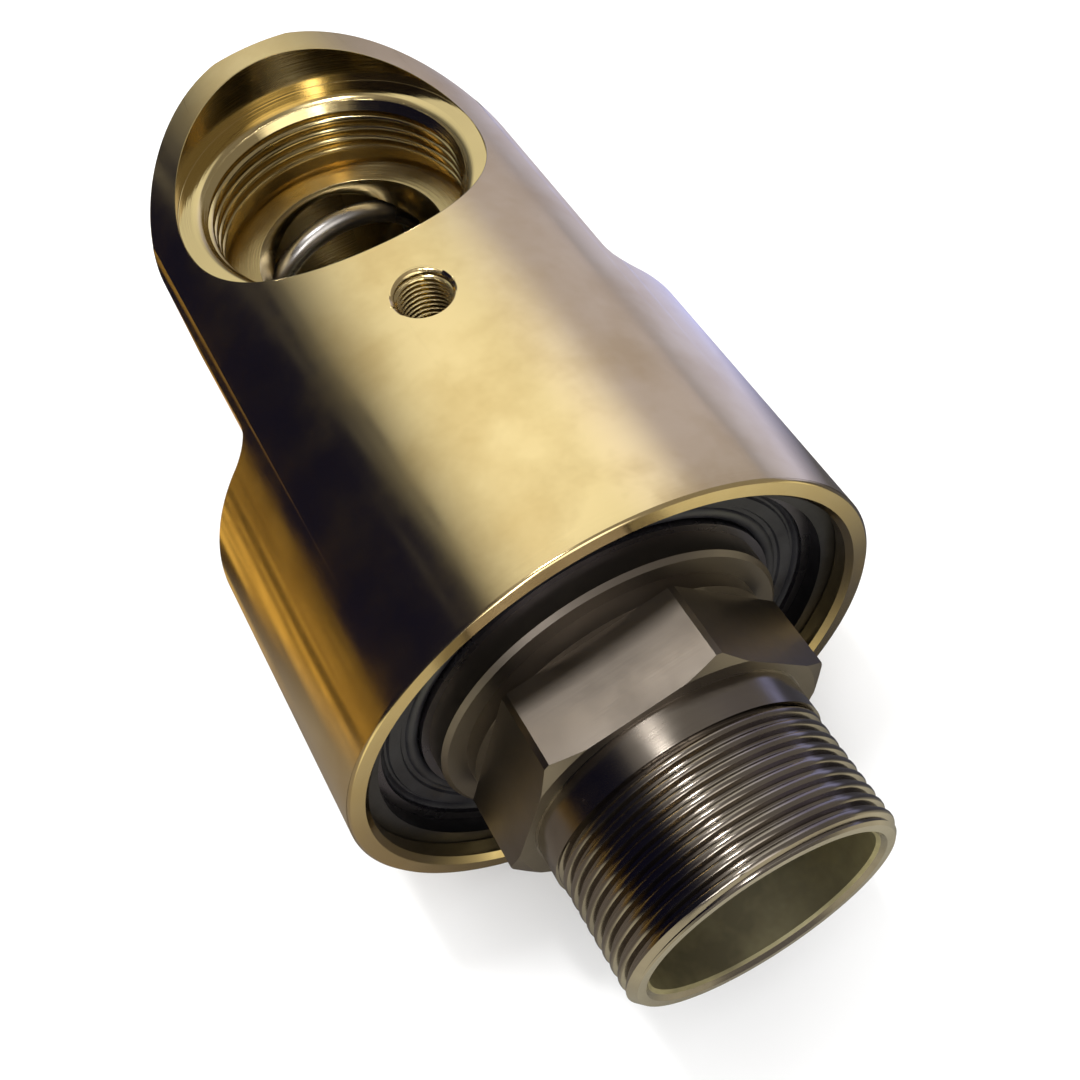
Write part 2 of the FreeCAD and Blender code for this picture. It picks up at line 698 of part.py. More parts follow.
def make_seal():
    """The face seal: hard ring in the rotor, carbon ring in a carrier that slides on keys, and o-rings."""
    seat_ring = make_ring("rotating_seal_ring", [
        ("seat_radius - seat_ring_wall", SEAT_BACK),
        ("seat_radius - running_gap", SEAT_BACK),
        ("seat_radius - running_gap", SEAL_FACE),
        ("seat_radius - seat_ring_wall", SEAL_FACE),
    ])
    seat_o_ring = make_o_ring(
        "rotating_seal_o_ring", "seat_radius - seat_o_ring_gap - seat_o_ring_radius",
        SEAT_FLOOR + " + seat_o_ring_radius", "seat_o_ring_radius - fit_gap / 2")
    carbon = make_ring("carbon_seal_ring", [
        ("carbon_bore", SEAL_FACE),
        ("carbon_radius - carbon_nose_step", SEAL_FACE),
        ("carbon_radius - carbon_nose_step", SEAL_FACE + " + carbon_nose_length"),
        ("carbon_radius", SEAL_FACE + " + carbon_nose_length"),
        ("carbon_radius", CARBON_BACK),
        ("carbon_bore", CARBON_BACK),
    ])
    carrier_radius = "cavity_radius - running_gap"
    groove_end = CARRIER_BACK + " - o_ring_from_end"
    groove_radius = "cavity_radius - 2 * o_ring_radius - 2 * fit_gap"
    carrier = make_ring("seal_carrier", [
        ("carrier_bore", CARBON_BACK),
        ("carbon_radius + running_gap", CARBON_BACK),
        ("carbon_radius + running_gap", CARRIER_FRONT),
        (carrier_radius, CARRIER_FRONT),
        (carrier_radius, groove_end + " - o_ring_groove_width"),
        (groove_radius, groove_end + " - o_ring_groove_width"),
        (groove_radius, groove_end),
        (carrier_radius, groove_end),
        (carrier_radius, CARRIER_BACK),
        ("carrier_bore", CARRIER_BACK),
    ])
    doc.recompute()
    before = carrier.Shape.Volume
    sketch = new_sketch(carrier, "key_pocket_outline", "XZ_Plane", offset="-" + KEY_START)
    for side in ("", "-"):
        draw_circle(sketch, side + "key_circle", "0", "key_radius")
    pockets = carrier.newObject("PartDesign::Pocket", "key_pockets")
    pockets.Profile = sketch
    pockets.setExpression("Length", bound("key_length"))
    expect_cut(carrier, "key pockets", before)
    carrier_o_ring = make_o_ring(
        "carrier_o_ring", "cavity_radius - o_ring_radius - fit_gap",
        groove_end + " - o_ring_groove_width / 2", "o_ring_radius")
    return [seat_ring, seat_o_ring, carbon, carrier, carrier_o_ring] + [make_keys()]


def make_keys():
    """Two round keys, held in the carrier's pockets and sliding in the housing's keyways."""
    keys = doc.addObject("Part::Compound", "carrier_keys")
    keys.Label = "carrier_keys"
    links = []
    for index, side in enumerate(("", "-"), start=1):
        key = doc.addObject("Part::Cylinder", "key_%d" % index)
        key.setExpression("Radius", bound("key_radius - fit_gap / 2"))
        key.setExpression("Height", bound("key_length"))
        key.Placement = Placement(Vector(), Rotation(Vector(1, 0, 0), -90.0))
        key.setExpression("Placement.Base.x", bound(side + "key_circle"))
        key.setExpression("Placement.Base.y", bound(KEY_START))
        links.append(key)
    keys.Links = links
    return keys


def make_spring():
    """The coil spring that presses the seal together, with both ends ground flat, and its seat ring."""
    doc.recompute()
    wire_radius = size("spring_wire_radius")
    mean_radius = size("cavity_radius") - size("spring_gap") - wire_radius
    seat = make_ring("spring_seat", [
        ("cavity_radius - spring_gap - 2 * spring_wire_radius", SPRING_END),
        ("cavity_radius - running_gap", SPRING_END),
        ("cavity_radius - running_gap", CAVITY_END),
        ("cavity_radius - spring_gap - 2 * spring_wire_radius", CAVITY_END),
    ])
    doc.recompute()
    carrier = doc.getObject("seal_carrier")
    start = carrier.Shape.BoundBox.YMax
    finish = seat.Shape.BoundBox.YMin
    pitch = (finish - start) / size("spring_turns")
    lead = pitch / 4
    steps = int(round((size("spring_turns") + 0.5) * STEPS_PER_TURN))
    rings = []
    for step in range(steps + 1):
        turn = 2 * math.pi * step / STEPS_PER_TURN
        outward = Vector(math.sin(turn), 0, math.cos(turn))
        centre = outward * mean_radius + Vector(0, start - lead + pitch * step / STEPS_PER_TURN, 0)
        ring = []
        for side in range(WIRE_SIDES):
            angle = 2 * math.pi * side / WIRE_SIDES
            across = outward * (wire_radius * math.cos(angle))
            ring.append(centre + across + Vector(0, wire_radius * math.sin(angle), 0))
        rings.append(ring)
    coil = faceted_solid(rings)
    span_radius = mean_radius + 2 * wire_radius
    span = Part.makeCylinder(span_radius, finish - start, Vector(0, start, 0), Vector(0, 1, 0))
    spring = doc.addObject("Part::Feature", "coil_spring")
    spring.Label = "coil_spring"
    spring.Shape = coil.common(span)
    return [spring, seat]


def check_and_export(pieces):
    """Stops on any failed object or bad shape, then writes one STEP file for each piece."""
    doc.recompute()
    for item in doc.Objects:
        for state in item.State:
            if state in ("Invalid", "Error"):
                raise RuntimeError("%s is %s" % (item.Name, state))
    for piece in pieces:
        shape = piece.Shape
        if shape.isNull() or not shape.isValid() or shape.Volume <= 0:
            raise RuntimeError(piece.Label + " has a bad shape")
    os.makedirs("parts", exist_ok=True)
    for piece in pieces:
        piece.Shape.exportStep(os.path.join("parts", piece.Label + ".step"))
        print("%s: %d solids, %.1f mm3" % (piece.Label, len(piece.Shape.Solids), piece.Shape.Volume))


housing = make_housing()
rotor = make_rotor()
pieces = [housing, rotor]
pieces += make_bearing("front", FRONT)
pieces += make_bearing("rear", REAR)
pieces += make_spacers()
pieces += make_circlips()
pieces += make_seal()
pieces += make_spring()
check_and_export(pieces)
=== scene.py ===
# %% [markdown]
# # A polished brass rotary union
#
# A rotary union lets coolant or oil flow from a fixed hose into a turning shaft. The brass housing stands still,
# and the steel rotor with its threaded nipple turns in it on two ball bearings. This lesson dresses the solids
# of that union with shapes and finishes that hold up in a close view: real thread turns, a wound spring,
# polished brass and oily machined steel.
#
# The first cell opens the frame. It holds one plain solid for each part, already in its place, and each new
# piece is either laid over such a solid or stands in for it.

# %% Open the frame
import math

import bpy
from mathutils import Matrix, Vector


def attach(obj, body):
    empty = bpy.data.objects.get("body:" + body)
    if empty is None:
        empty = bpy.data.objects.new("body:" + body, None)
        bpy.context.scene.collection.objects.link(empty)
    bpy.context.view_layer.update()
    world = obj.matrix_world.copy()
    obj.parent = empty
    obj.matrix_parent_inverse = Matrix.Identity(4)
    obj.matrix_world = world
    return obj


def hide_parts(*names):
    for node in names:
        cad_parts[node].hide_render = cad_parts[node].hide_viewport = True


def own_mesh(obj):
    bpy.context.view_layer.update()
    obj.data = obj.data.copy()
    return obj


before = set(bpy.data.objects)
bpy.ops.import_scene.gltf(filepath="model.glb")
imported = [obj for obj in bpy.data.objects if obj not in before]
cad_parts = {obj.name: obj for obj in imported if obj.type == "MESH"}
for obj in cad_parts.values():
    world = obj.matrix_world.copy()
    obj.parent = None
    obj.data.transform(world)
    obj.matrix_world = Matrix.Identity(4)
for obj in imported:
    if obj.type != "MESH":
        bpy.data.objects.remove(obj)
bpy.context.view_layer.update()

# %% [markdown]
# ## The workbench
#
# The drawing of this union is in millimetres, and Blender's unit is the metre, so one short function turns
# one into the other. An operator works on everything that is selected, so each step starts by clearing the
# selection, and then picks vertices or faces by where they are.

# %% Small helpers for modelling
def mm(*values):
    """Millimetres as metres: one number, or a vector from three."""
    if len(values) == 1:
        return values[0] * 0.001
    return Vector(values) * 0.001


def take(piece):
    """Makes the piece the only selected and the active object."""
    if bpy.context.object and bpy.context.object.mode != "OBJECT":
        bpy.ops.object.mode_set(mode="OBJECT")
    bpy.ops.object.select_all(action="DESELECT")
    piece.select_set(True)
    bpy.context.view_layer.objects.active = piece


def apply_modifier(piece, kind, **settings):
    """Adds one modifier, sets it and applies it at once."""
    take(piece)
    modifier = piece.modifiers.new(kind.lower(), kind)
    for setting, value in settings.items():
        setattr(modifier, setting, value)
    bpy.ops.object.modifier_apply(modifier=modifier.name)


def heal(piece, distance=0.00001):
    """Merges doubled points and turns every face outwards."""
    take(piece)
    bpy.ops.object.mode_set(mode="EDIT")
    bpy.ops.mesh.select_all(action="SELECT")
    bpy.ops.mesh.remove_doubles(threshold=distance)
    bpy.ops.mesh.normals_make_consistent(inside=False)
    bpy.ops.mesh.select_all(action="DESELECT")
    bpy.ops.object.mode_set(mode="OBJECT")


def soften(piece, angle=35.0):
    """Smooth shading that keeps edges sharper than the angle crisp."""
    take(piece)
    bpy.ops.object.shade_smooth_by_angle(angle=math.radians(angle))


def break_edges(piece, width, angle=40.0, segments=2, clamp=True):
    """A narrow round on every sharp edge, as a file or a polishing wheel leaves it."""
    apply_modifier(piece, "BEVEL", width=mm(width), segments=segments, limit_method="ANGLE",
                   angle_limit=math.radians(angle), use_clamp_overlap=clamp)


def even_out(piece):
    """Lets large flat faces keep one direction right up to their rounded edges."""
    apply_modifier(piece, "WEIGHTED_NORMAL", mode="FACE_AREA", weight=50, keep_sharp=True)


def weld_together(piece, others, operation="UNION"):
    """Adds, cuts or keeps the common part with each of the other meshes, which are used up."""
    for other in others:
        apply_modifier(piece, "BOOLEAN", operation=operation, solver="EXACT", object=other)
        bpy.data.objects.remove(other)


# %% [markdown]
# ## Drawing a profile
#
# Most parts here come off a lathe. The way to such a part is its half profile: one vertex is drawn out from
# corner to corner with Extrude, and Spin turns the profile round the axis. The same profile tool also draws
# closed outlines, which are filled and then extruded into bars.

# %% Profiles, turned parts and bars
def draw_profile(name, corners, closed=True):
    """A wire through the corners, drawn out of a plane's first vertex with Extrude."""
    bpy.ops.object.select_all(action="DESELECT")
    bpy.ops.mesh.primitive_plane_add(size=mm(1.0), location=(0, 0, 0))
    piece = bpy.context.object
    piece.name = piece.data.name = name
    bpy.ops.object.mode_set(mode="EDIT")
    bpy.ops.mesh.select_mode(type="VERT")
    bpy.ops.mesh.merge(type="CENTER")
    bpy.ops.transform.translate(value=corners[0])
    for here, there in zip(corners, corners[1:]):
        bpy.ops.mesh.extrude_region_move(TRANSFORM_OT_translate={"value": there - here})
    if closed:
        bpy.ops.mesh.extrude_region_move(TRANSFORM_OT_translate={"value": corners[0] - corners[-1]})
    bpy.ops.mesh.select_all(action="SELECT")
    bpy.ops.mesh.remove_doubles(threshold=0.000001)
    bpy.ops.object.mode_set(mode="OBJECT")
    return piece


def turn(name, profile, steps=192, centre=(0.0, 0.0, 0.0), axis=1, closed=True):
    """A turned part from (radius, station) corners in millimetres, about Y through the centre, or about Z."""
    middle = mm(*centre)
    if axis == 1:
        corners = [middle + mm(radius, station, 0) for radius, station in profile]
    else:
        corners = [middle + mm(radius, 0, station) for radius, station in profile]
    piece = draw_profile(name, corners, closed)
    bpy.ops.object.mode_set(mode="EDIT")
    bpy.ops.mesh.select_all(action="SELECT")
    direction = (0, 1, 0) if axis == 1 else (0, 0, 1)
    bpy.ops.mesh.spin(steps=steps, angle=2 * math.pi, center=middle, axis=direction)
    bpy.ops.object.mode_set(mode="OBJECT")
    heal(piece)
    return piece


def bar(name, outline, depth):
    """A bar: the outline is filled and drawn out by the depth vector."""
    piece = draw_profile(name, outline)
    bpy.ops.object.mode_set(mode="EDIT")
    bpy.ops.mesh.select_all(action="SELECT")
    bpy.ops.mesh.edge_face_add()
    bpy.ops.mesh.extrude_region_move(TRANSFORM_OT_translate={"value": depth})
    bpy.ops.object.mode_set(mode="OBJECT")
    heal(piece)
    return piece


def arc(centre, radius, start, finish, steps):
    """Corners along an arc, as (across, along) pairs, the angles in degrees."""
    corners = []
    for step in range(steps + 1):
        angle = math.radians(start + (finish - start) * step / steps)
        corners.append((centre[0] + radius * math.cos(angle), centre[1] + radius * math.sin(angle)))
    return corners


# %% [markdown]
# ## Sizes
#
# The stations run along the rotor's axis from the open end of the nipple, as in the drawing of the solids.

# %% Sizes of the housing
RIM = 43.0
SHOULDER = 98.0
PORT = 139.0
HEAD = 172.4
BODY_RADIUS = 49.0
HEAD_RADIUS = 28.3
BOSS_HALF_WIDTH = 34.2
BOSS_BACK = 16.0
BOSS_BLEND = 5.0
FOOT_FILLET = 4.5
ROUND = 256
print("housing length", HEAD - RIM, "mm")

# %% [markdown]
# ## The brass housing
#
# On the real union one brass casting is turned to a big cylinder and a narrower head, and the boss of the
# side port stands proud of the head, flush with the big cylinder's front. It could be built face by face, but
# the arch and the fillets would be hard to keep true. Here it is machined instead: oversize bars are joined, and
# one last turned shape trims them all, so the front of the boss and the cylinder are one surface.

# %% Join the oversize blank
def head_profile():
    """The head's corners: foot fillet, side, end chamfer and end face."""
    foot = arc((HEAD_RADIUS + FOOT_FILLET, SHOULDER + FOOT_FILLET), FOOT_FILLET, 270, 180, 8)
    return foot + [(HEAD_RADIUS, HEAD - 1), (HEAD_RADIUS - 1, HEAD), (0, HEAD)]


def housing_blank():
    """Big cylinder and head, oversize where the last cut will trim them."""
    profile = [(0, RIM - 1), (BODY_RADIUS + 3, RIM - 1), (BODY_RADIUS + 3, SHOULDER)] + head_profile()
    return turn("housing_shell", profile, steps=ROUND, closed=False)


def boss_tower():
    """The boss and its blends into the head, as a bar along the rotor's axis."""
    blend_height = BOSS_BACK - BOSS_BLEND
    reach = HEAD_RADIUS + BOSS_BLEND
    blend_across = math.sqrt(reach ** 2 - blend_height ** 2)
    end_angle = 180 + math.degrees(math.atan2(blend_height, blend_across))
    right = arc((blend_across, blend_height), BOSS_BLEND, 90, end_angle, 12)
    outline = [(BOSS_HALF_WIDTH, BODY_RADIUS + 3), (BOSS_HALF_WIDTH, BOSS_BACK)] + right + [(0, 4)]
    outline += [(-across, height) for across, height in reversed(outline[:-1])]
    corners = [mm(across, SHOULDER - 0.5, height) for across, height in outline]
    return bar("boss_tower", corners, mm(0, HEAD + 1 - SHOULDER, 0))


def boss_arch():
    """The outline of the boss seen from the port's side, as a bar along the port's axis."""
    outline = arc((0, PORT), BOSS_HALF_WIDTH, 0, 180, 128)
    outline += [(-BOSS_HALF_WIDTH, SHOULDER - 4), (BOSS_HALF_WIDTH, SHOULDER - 4)]
    return bar("boss_arch", [mm(across, along, -5) for across, along in outline], mm(0, 0, BODY_RADIUS + 12))


def foot_cove(side):
    """The fillet between boss and shoulder: one profile drawn down the side, round the corner and along the back."""
    sink = 0.03
    edge = BOSS_HALF_WIDTH - sink
    cove = [(0, -1), (FOOT_FILLET, -1)] + arc((FOOT_FILLET, FOOT_FILLET), FOOT_FILLET, 270, 180, 8)
    start = BODY_RADIUS + 2
    corners = [mm(side * (edge + out), SHOULDER - sink + up, start) for out, up in cove]
    piece = draw_profile("foot_cove", corners)
    bpy.ops.object.mode_set(mode="EDIT")
    bpy.ops.mesh.select_all(action="SELECT")
    bpy.ops.mesh.edge_face_add()
    bpy.ops.mesh.extrude_region_move(TRANSFORM_OT_translate={"value": mm(0, 0, BOSS_BACK + sink - start)})
    bpy.ops.mesh.spin(steps=12, angle=side * math.pi / 2, center=mm(side * edge, 0, BOSS_BACK + sink), axis=(0, 1, 0))
    bpy.ops.mesh.extrude_region_move(TRANSFORM_OT_translate={"value": mm(-side * (BOSS_HALF_WIDTH - 12), 0, 0)})
    bpy.ops.object.mode_set(mode="OBJECT")
    heal(piece)
    return piece


housing = housing_blank()
tower = boss_tower()
weld_together(tower, [boss_arch()], "INTERSECT")
weld_together(housing, [tower, foot_cove(1), foot_cove(-1)])
print("blank of the housing:", len(housing.data.vertices), "vertices")

# %% [markdown]
# The last cut on the outside is one turned shape with the true radius and the small chamfers. Keeping only what
# lies inside it trims the cylinder, the boss and the crest of the arch together. Then the bores are cut: the
# stepped bore for the bearings and the seal, the side port with its flat spot face, and the leak hole.

# %% Trim and bore the housing
BEARING_BORE = 45.0
CAVITY_RADIUS = 22.5
THREAD_MAJOR = 23.9
PITCH = 2.309
SPOT_FACE = 40.0
SPOT_RADIUS = 28.1
MOUTH = 1.9
PORT_FLOOR = 24.8
LEAK = 97.5
LEAK_RADIUS = 4.86


def housing_limit():
    """The turned outside that everything is trimmed to."""
    profile = [(0, RIM), (BODY_RADIUS - 0.5, RIM), (BODY_RADIUS, RIM + 0.5), (BODY_RADIUS, HEAD), (0, HEAD)]
    return turn("housing_limit", profile, steps=ROUND, closed=False)


def housing_bore():
    """Everything that is bored from the rim, as one turned cutter."""
    profile = [(0, RIM - 2), (BEARING_BORE + 3, RIM - 2), (BEARING_BORE, RIM + 1), (BEARING_BORE, 46.9),
               (46.75, 46.9), (46.75, 50), (BEARING_BORE, 50), (BEARING_BORE, 88), (36, 88), (36, 92.4),
               (24, 92.4), (24, 102.8), (CAVITY_RADIUS, 102.8), (CAVITY_RADIUS, 166.5), (0, 166.5)]
    return turn("housing_bore", profile, steps=ROUND, closed=False)


def port_bore():
    """Spot face, tapping bore with its run-out groove, and the hole into the cavity."""
    profile = [(0, 2), (17.8, 2), (17.8, PORT_FLOOR), (THREAD_MAJOR + 0.3, PORT_FLOOR),
               (THREAD_MAJOR + 0.3, PORT_FLOOR + 3), (THREAD_MAJOR, PORT_FLOOR + 3.3),
               (THREAD_MAJOR, SPOT_FACE - MOUTH), (THREAD_MAJOR + MOUTH, SPOT_FACE), (SPOT_RADIUS, SPOT_FACE),
               (SPOT_RADIUS, BODY_RADIUS + 4), (0, BODY_RADIUS + 4)]
    return turn("port_bore", profile, steps=192, centre=(0, PORT, 0), axis=2, closed=False)


def leak_bore():
    """The small drain hole, with a light chamfer at its mouth."""
    profile = [(0, 10), (LEAK_RADIUS, 10), (LEAK_RADIUS, 48.2), (LEAK_RADIUS + 2.5, 50.7), (0, 50.7)]
    return turn("leak_bore", profile, steps=64, centre=(0, LEAK, 0), axis=2, closed=False)


def press_to_head(piece):
    """Presses the points that the rounding pushed past the head's end back onto its plane."""
    bpy.context.scene.tool_settings.transform_pivot_point = "CURSOR"
    for point in piece.data.vertices:
        point.select = point.co.y > mm(HEAD)
    take(piece)
    bpy.ops.object.mode_set(mode="EDIT")
    bpy.ops.transform.resize(value=(1, 0, 1), center_override=mm(0, HEAD, 0))
    bpy.ops.object.mode_set(mode="OBJECT")


weld_together(housing, [housing_limit()], "INTERSECT")
weld_together(housing, [housing_bore(), port_bore(), leak_bore()], "DIFFERENCE")
heal(housing, 0.000004)
break_edges(housing, 0.15, angle=50.0, clamp=False)
press_to_head(housing)
soften(housing, 30.0)
print("housing:", len(housing.data.polygons), "faces, size", [round(v * 1000, 1) for v in housing.dimensions])

# %% [markdown]
# The cuts leave long faces beside short ones, and their averaged normals would show as panels in the reflections
# of the polished brass. So the outside and the port borrow their normals from plain, uncut copies of their own
# surfaces, wherever the two lie on each other. The copy of the port's wall is turned inside out.

# %% Even normals for the outside and the port
def even_shapes():
    """Uncut copies of the cylinder, the head, the boss, its crest, the port's wall and its spot face."""
    barrel = turn("even_barrel", [(BODY_RADIUS, RIM + 0.5), (BODY_RADIUS, HEAD)], steps=ROUND, closed=False)
    head = turn("even_head", [(BODY_RADIUS - 1, SHOULDER)] + head_profile(), steps=ROUND, closed=False)
    crest_profile = [(0, HEAD - 5), (BODY_RADIUS + 5, HEAD - 5), (BODY_RADIUS + 5, HEAD), (0, HEAD)]
    crest = turn("even_crest", crest_profile, steps=ROUND, closed=False)
    wall_profile = [(SPOT_RADIUS, SPOT_FACE), (SPOT_RADIUS, BODY_RADIUS + 4)]
    wall = turn("even_wall", wall_profile, steps=192, centre=(0, PORT, 0), axis=2, closed=False)
    take(wall)
    bpy.ops.object.mode_set(mode="EDIT")
    bpy.ops.mesh.select_all(action="SELECT")
    bpy.ops.mesh.flip_normals()
    bpy.ops.object.mode_set(mode="OBJECT")
    face_profile = [(20, SPOT_FACE - 3), (SPOT_RADIUS, SPOT_FACE - 3), (SPOT_RADIUS, SPOT_FACE), (20, SPOT_FACE)]
    spot_face = turn("even_spot_face", face_profile, steps=192, centre=(0, PORT, 0), axis=2)
    return [wall, spot_face, head, boss_tower(), boss_arch(), crest, barrel]


def is_visible(point):
    """True for points of the outside and of the port, false for the bores in the housing."""
    outside_head = math.hypot(point.x, point.z) > mm(HEAD_RADIUS - 2)
    in_port = math.hypot(point.x, point.y - mm(PORT)) < mm(SPOT_RADIUS + 0.2) and point.z > mm(CAVITY_RADIUS)
    return outside_head or in_port


outside = housing.vertex_groups.new(name="outside")
outside.add([point.index for point in housing.data.vertices if is_visible(point.co)], 1.0, "REPLACE")
for shape in even_shapes():
    soften(shape, 30.0)
    apply_modifier(housing, "DATA_TRANSFER", object=shape, use_loop_data=True, data_types_loops={"CUSTOM_NORMAL"},
                   loop_mapping="POLYINTERP_NEAREST", use_max_distance=True, max_distance=mm(0.03),
                   vertex_group="outside")
    bpy.data.objects.remove(shape)
print("normals borrowed for", sum(is_visible(point.co) for point in housing.data.vertices), "points")

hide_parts("housing")
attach(housing, "housing")

# %% [markdown]
# ## Threads
#
# A thread is one tooth profile that turns and climbs at the same time, and the Screw modifier does both. The
# real threads are cut with a 55 degree tool at eleven turns to the inch. A bump texture would be cheaper, but in
# a close view the crests have to catch the light and stand out at the edge of the shape, so they are real.

# %% Wind a profile along a helix
def wind(name, corners, axis, turns, pitch, steps_per_turn):
    """A closed solid: the profile turns about the axis through the origin and climbs by the pitch each turn."""
    piece = draw_profile(name, corners)
    apply_modifier(piece, "SCREW", axis=axis, angle=2 * math.pi * turns, screw_offset=mm(pitch * turns),
                   steps=int(turns * steps_per_turn), iterations=1)
    take(piece)
    bpy.ops.object.mode_set(mode="EDIT")
    bpy.ops.mesh.select_all(action="SELECT")
    bpy.ops.mesh.remove_doubles(threshold=0.000001)
    bpy.ops.mesh.fill_holes(sides=0)
    bpy.ops.mesh.select_all(action="SELECT")
    bpy.ops.mesh.normals_make_consistent(inside=False)
    bpy.ops.object.mode_set(mode="OBJECT")
    return piece


def tooth(root, crest, base, pitch):
    """The tooth's corners as (radius, height), from a base sunk into the wall to the rounded crest."""
    inwards = math.copysign(1.0, crest - root)
    half_root = 0.41 * pitch
    half_crest = half_root - abs(crest - root) * math.tan(math.radians(27.5))
    near_crest = crest - 0.15 * inwards
    side = half_crest + 0.15 * math.tan(math.radians(27.5))
    return [(base, -half_root), (root, -half_root), (near_crest, -side), (crest, -0.4 * side),
            (crest, 0.4 * side), (near_crest, side), (root, half_root), (base, half_root)]


def inner_thread(name, root, crest, pitch, height, mouth, spot, station):
    """Thread turns on the wall of a hole along Z, cut back by the cone of the mouth's chamfer."""
    turns = (spot - height) / pitch + 1.5
    corners = [mm(radius, 0, height - pitch + up) for radius, up in tooth(root, crest, root + 0.4, pitch)]
    piece = wind(name, corners, "Z", turns, pitch, 72)
    cone = turn("cone", [(0, spot - 5), (mouth - 5, spot - 5), (mouth + 3, spot + 3), (0, spot + 3)], steps=96, axis=2,
                closed=False)
    floor_cut = turn("floor_cut", [(0, height - 6), (mouth + 4, height - 6), (mouth + 4, height), (0, height)],
                     steps=96, axis=2, closed=False)
    weld_together(piece, [cone, floor_cut], "DIFFERENCE")
    take(piece)
    bpy.ops.object.mode_set(mode="EDIT")
    bpy.ops.mesh.select_all(action="SELECT")
    bpy.ops.transform.translate(value=mm(0, station, 0))
    bpy.ops.object.mode_set(mode="OBJECT")
    heal(piece, 0.000002)
    soften(piece, 28.0)
    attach(piece, "housing")
    return piece


port_thread = inner_thread("port_thread", THREAD_MAJOR, 22.8, PITCH, 28.1, THREAD_MAJOR + MOUTH - 0.02,
                           SPOT_FACE, PORT)
leak_thread = inner_thread("leak_thread", LEAK_RADIUS, 4.3, 1.0, 38.0, LEAK_RADIUS + 0.5, 48.3, LEAK)
print("port thread:", len(port_thread.data.polygons), "faces; leak thread:", len(leak_thread.data.polygons))

# %% [markdown]
# ## The steel rotor
#
# The real rotor is one piece of steel: a threaded nipple, a wrench hexagon, a neck and a collar that shoulders
# the first bearing. It is turned oversize at the open end, joined with the thread and the hexagon, and then one
# cut at the open end makes the face and the lead-in chamfer through all of them.

# %% Turn the rotor, mill the hexagon and cut the thread
NIPPLE_ROOT = 22.95
HEX_FLAT = 26.0
HEX_CORNER = 29.7
HEX_START = 27.5
HEX_END = 42.0
HEX_TURN = 20.0


def rotor_lathe():
    """The turned rotor with its bore, 1 mm too long at the open end."""
    profile = [(22.2, -1), (NIPPLE_ROOT, -1), (NIPPLE_ROOT, 21.5), (24.3, 21.5), (24.3, HEX_END), (27.6, HEX_END),
               (27.6, 45), (31, 45), (31.8, 45.8), (31.8, 50), (27.5, 50), (27.5, 88.1), (26, 88.1), (26, 90.2),
               (27.5, 90.2), (27.5, 91.3), (27, 91.8), (23.2, 91.8), (23.2, 88.2), (20, 88.2), (20, 1.2)]
    return turn("rotor_body", profile, steps=ROUND)


def hexagon():
    """Bar stock with six flats, its front corners turned back to a cone."""
    reach = HEX_FLAT / math.cos(math.radians(30))
    corners = []
    for side in range(6):
        angle = math.radians(HEX_TURN + 60 * side)
        corners.append(mm(reach * math.sin(angle), HEX_START, reach * math.cos(angle)))
    piece = bar("hexagon", corners, mm(0, HEX_END - HEX_START, 0))
    cone = [(22, HEX_START - 1), (24, HEX_START - 1), (24, HEX_START), (HEX_CORNER - 2.4, HEX_START),
            (HEX_CORNER, HEX_START + 1.2), (HEX_CORNER, HEX_END + 1), (22, HEX_END + 1)]
    weld_together(piece, [turn("cone", cone, steps=ROUND)], "INTERSECT")
    heal(piece, 0.000002)
    break_edges(piece, 0.3, angle=20.0)
    return piece


def nipple_thread():
    """Thread turns round the nipple, running out into the plain band."""
    corners = [mm(radius, up - 2.4, 0) for radius, up in tooth(NIPPLE_ROOT, THREAD_MAJOR, 21.9, PITCH)]
    return wind("nipple_thread", corners, "Y", 10.75, PITCH, 96)


rotor = rotor_lathe()
weld_together(rotor, [hexagon(), nipple_thread()])
open_end = [(0, 0), (22.7, 0), (24.6, 1.9), (40, 1.9), (40, 100), (0, 100)]
weld_together(rotor, [turn("open_end", open_end, steps=96, closed=False)], "INTERSECT")
heal(rotor, 0.000002)
break_edges(rotor, 0.12, angle=50.0)
soften(rotor, 28.0)
even_out(rotor)
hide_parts("rotor")
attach(rotor, "rotor")
print("rotor:", len(rotor.data.polygons), "faces, size", [round(v * 1000, 1) for v in rotor.dimensions])

# %% [markdown]
# ## Spring and front seal
#
# Through the side port one sees the coil spring that presses the face seal together. It is round wire, so a
# circle is wound in the same way as the threads, and both ends are ground flat against their seats. In the
# open recess one sees the rubber seal of the first bearing, which has moulded ridges where the solid is flat.

# %% Wind the spring and mould the seal
SPRING_START = 114.2
SPRING_END = 165.5
SPRING_RADIUS = 19.8
WIRE_RADIUS = 2.2
SPRING_TURNS = 3.75

spring_pitch = (SPRING_END - SPRING_START) / SPRING_TURNS
section = arc((SPRING_RADIUS, SPRING_START - spring_pitch / 4), WIRE_RADIUS, 0, 345, 23)
spring = wind("spring_coil", [mm(0, along, out) for out, along in section], "Y", SPRING_TURNS + 0.5, spring_pitch, 64)
span = [(0, SPRING_START), (26, SPRING_START), (26, SPRING_END), (0, SPRING_END)]
weld_together(spring, [turn("span", span, steps=64, closed=False)], "INTERSECT")
heal(spring, 0.000002)
soften(spring, 40.0)
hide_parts("coil_spring")
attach(spring, "housing")
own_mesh(spring)

